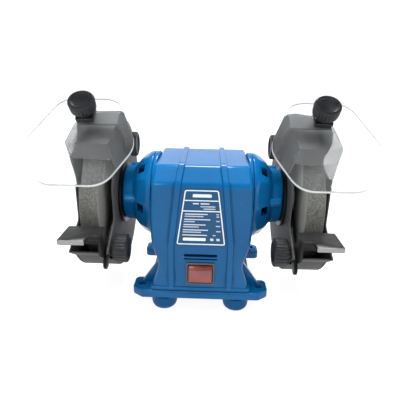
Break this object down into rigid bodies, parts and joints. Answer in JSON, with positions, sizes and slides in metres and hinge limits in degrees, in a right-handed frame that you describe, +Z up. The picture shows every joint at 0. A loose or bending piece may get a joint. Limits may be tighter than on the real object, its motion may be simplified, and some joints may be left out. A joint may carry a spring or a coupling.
{
  "type": "bench grinder",
  "caption": "Compact double-ended bench grinder: motor on a cast base, guarded wheels, tilting eye shields, sliding tool rests and a front rocker switch.",
  "frame": {"origin": "Centre of the whole box in X and Y, on the bench surface that the feet stand on.", "axes": "+X runs along the motor shaft to the right-hand wheel as the operator sees it, -Y faces the operator, +Z up."},
  "size_m": [0.2712, 0.171, 0.1994],
  "materials": {
    "blue_casting": "gloss enamel on a casting",
    "grey_guard": "satin grey enamel on pressed steel",
    "black_plastic": "moulded",
    "black_steel": "black painted steel",
    "steel": "turned",
    "lamination": "varnished laminations",
    "abrasive": "bonded grey grit",
    "winding": "varnished copper wire",
    "foot_rubber": "moulded",
    "rocker_red": "translucent",
    "switch_black": "moulded",
    "clear_shield": "clear polycarbonate",
    "printed_plate": "printed",
    "rubber": "moulded"
  },
  "bodies": {
    "frame": {"bottom_plate": "black_steel", "cable_gland": "rubber", "capacitor": "black_plastic", "left_bearing_outer_race": "steel", "left_cover_screw_1": "steel", "left_cover_screw_2": "steel", "left_cover_screw_3": "steel", "left_end_bell": "blue_casting", "left_front_foot": "foot_rubber", "left_guard": "grey_guard", "left_guard_cover": "grey_guard", "left_mounting_ring": "rubber", "left_rear_foot": "foot_rubber", "left_rest_bracket": "black_steel", "left_winding": "winding", "motor_housing": "blue_casting", "rating_plate": "printed_plate", "right_bearing_outer_race": "steel", "right_cover_screw_1": "steel", "right_cover_screw_2": "steel", "right_cover_screw_3": "steel", "right_end_bell": "blue_casting", "right_front_foot": "foot_rubber", "right_guard": "grey_guard", "right_guard_cover": "grey_guard", "right_mounting_ring": "rubber", "right_rear_foot": "foot_rubber", "right_rest_bracket": "black_steel", "right_winding": "winding", "stator_core": "lamination", "switch_frame": "switch_black"},
    "spindle": {"left_bearing_inner_race": "steel", "left_inner_flange": "steel", "left_outer_flange": "steel", "left_wheel": "abrasive", "left_wheel_nut": "steel", "right_bearing_inner_race": "steel", "right_inner_flange": "steel", "right_outer_flange": "steel", "right_wheel": "abrasive", "right_wheel_nut": "steel", "rotor_core": "lamination", "shaft": "steel"},
    "switch_rocker": {"switch_rocker": "rocker_red"},
    "left_shield_arm": {"left_shield_arm": "grey_guard", "left_shield_clamp": "black_plastic"},
    "left_eye_shield": {"left_eye_shield": "clear_shield"},
    "left_shield_knob": {"left_shield_knob": "black_plastic"},
    "left_arm_knob": {"left_arm_knob": "black_plastic"},
    "left_tool_rest": {"left_tool_rest": "black_steel"},
    "left_rest_knob": {"left_rest_knob": "black_plastic"},
    "right_shield_arm": {"right_shield_arm": "grey_guard", "right_shield_clamp": "black_plastic"},
    "right_eye_shield": {"right_eye_shield": "clear_shield"},
    "right_shield_knob": {"right_shield_knob": "black_plastic"},
    "right_arm_knob": {"right_arm_knob": "black_plastic"},
    "right_tool_rest": {"right_tool_rest": "black_steel"},
    "right_rest_knob": {"right_rest_knob": "black_plastic"}
  },
  "joints": [
    {"name": "spindle_spin", "type": "hinge", "parent": "frame", "child": "spindle", "pos_m": [0, 0.01453, 0.1], "axis": [1, 0, 0], "continuous": true},
    {"name": "switch_rock", "type": "hinge", "parent": "frame", "child": "switch_rocker", "pos_m": [0, -0.03347, 0.041], "axis": [-1, 0, 0], "range_deg": [0, 10]},
    {"name": "left_shield_tilt", "type": "hinge", "parent": "frame", "child": "left_shield_arm", "pos_m": [-0.0772, -0.00047, 0.151], "axis": [-1, 0, 0], "range_deg": [-8, 75]},
    {"name": "left_shield_swivel", "type": "hinge", "parent": "left_shield_arm", "child": "left_eye_shield", "pos_m": [-0.0942, -0.03197, 0.1784], "axis": [0, -0.6157, 0.788], "range_deg": [-20, 20]},
    {"name": "left_shield_knob_turn", "type": "hinge", "parent": "left_shield_arm", "child": "left_shield_knob", "pos_m": [-0.0942, -0.03197, 0.1784], "axis": [0, -0.6157, 0.788], "range_deg": [0, 540]},
    {"name": "left_arm_knob_turn", "type": "hinge", "parent": "frame", "child": "left_arm_knob", "pos_m": [-0.0772, -0.00047, 0.151], "axis": [1, 0, 0], "range_deg": [0, 540]},
    {"name": "left_rest_slide", "type": "slide", "parent": "frame", "child": "left_tool_rest", "axis": [0, -1, 0], "range_m": [-0.0015, 0.01]},
    {"name": "left_rest_knob_turn", "type": "hinge", "parent": "frame", "child": "left_rest_knob", "pos_m": [-0.0772, -0.04447, 0.068], "axis": [1, 0, 0], "range_deg": [0, 540]},
    {"name": "right_shield_tilt", "type": "hinge", "parent": "frame", "child": "right_shield_arm", "pos_m": [0.0772, -0.00047, 0.151], "axis": [-1, 0, 0], "range_deg": [-8, 75]},
    {"name": "right_shield_swivel", "type": "hinge", "parent": "right_shield_arm", "child": "right_eye_shield", "pos_m": [0.0942, -0.03197, 0.1784], "axis": [0, -0.6157, 0.788], "range_deg": [-20, 20]},
    {"name": "right_shield_knob_turn", "type": "hinge", "parent": "right_shield_arm", "child": "right_shield_knob", "pos_m": [0.0942, -0.03197, 0.1784], "axis": [0, -0.6157, 0.788], "range_deg": [0, 540]},
    {"name": "right_arm_knob_turn", "type": "hinge", "parent": "frame", "child": "right_arm_knob", "pos_m": [0.0772, -0.00047, 0.151], "axis": [-1, 0, 0], "range_deg": [0, 540]},
    {"name": "right_rest_slide", "type": "slide", "parent": "frame", "child": "right_tool_rest", "axis": [0, -1, 0], "range_m": [-0.0015, 0.01]},
    {"name": "right_rest_knob_turn", "type": "hinge", "parent": "frame", "child": "right_rest_knob", "pos_m": [0.0772, -0.04447, 0.068], "axis": [-1, 0, 0], "range_deg": [0, 540]}
  ]
}
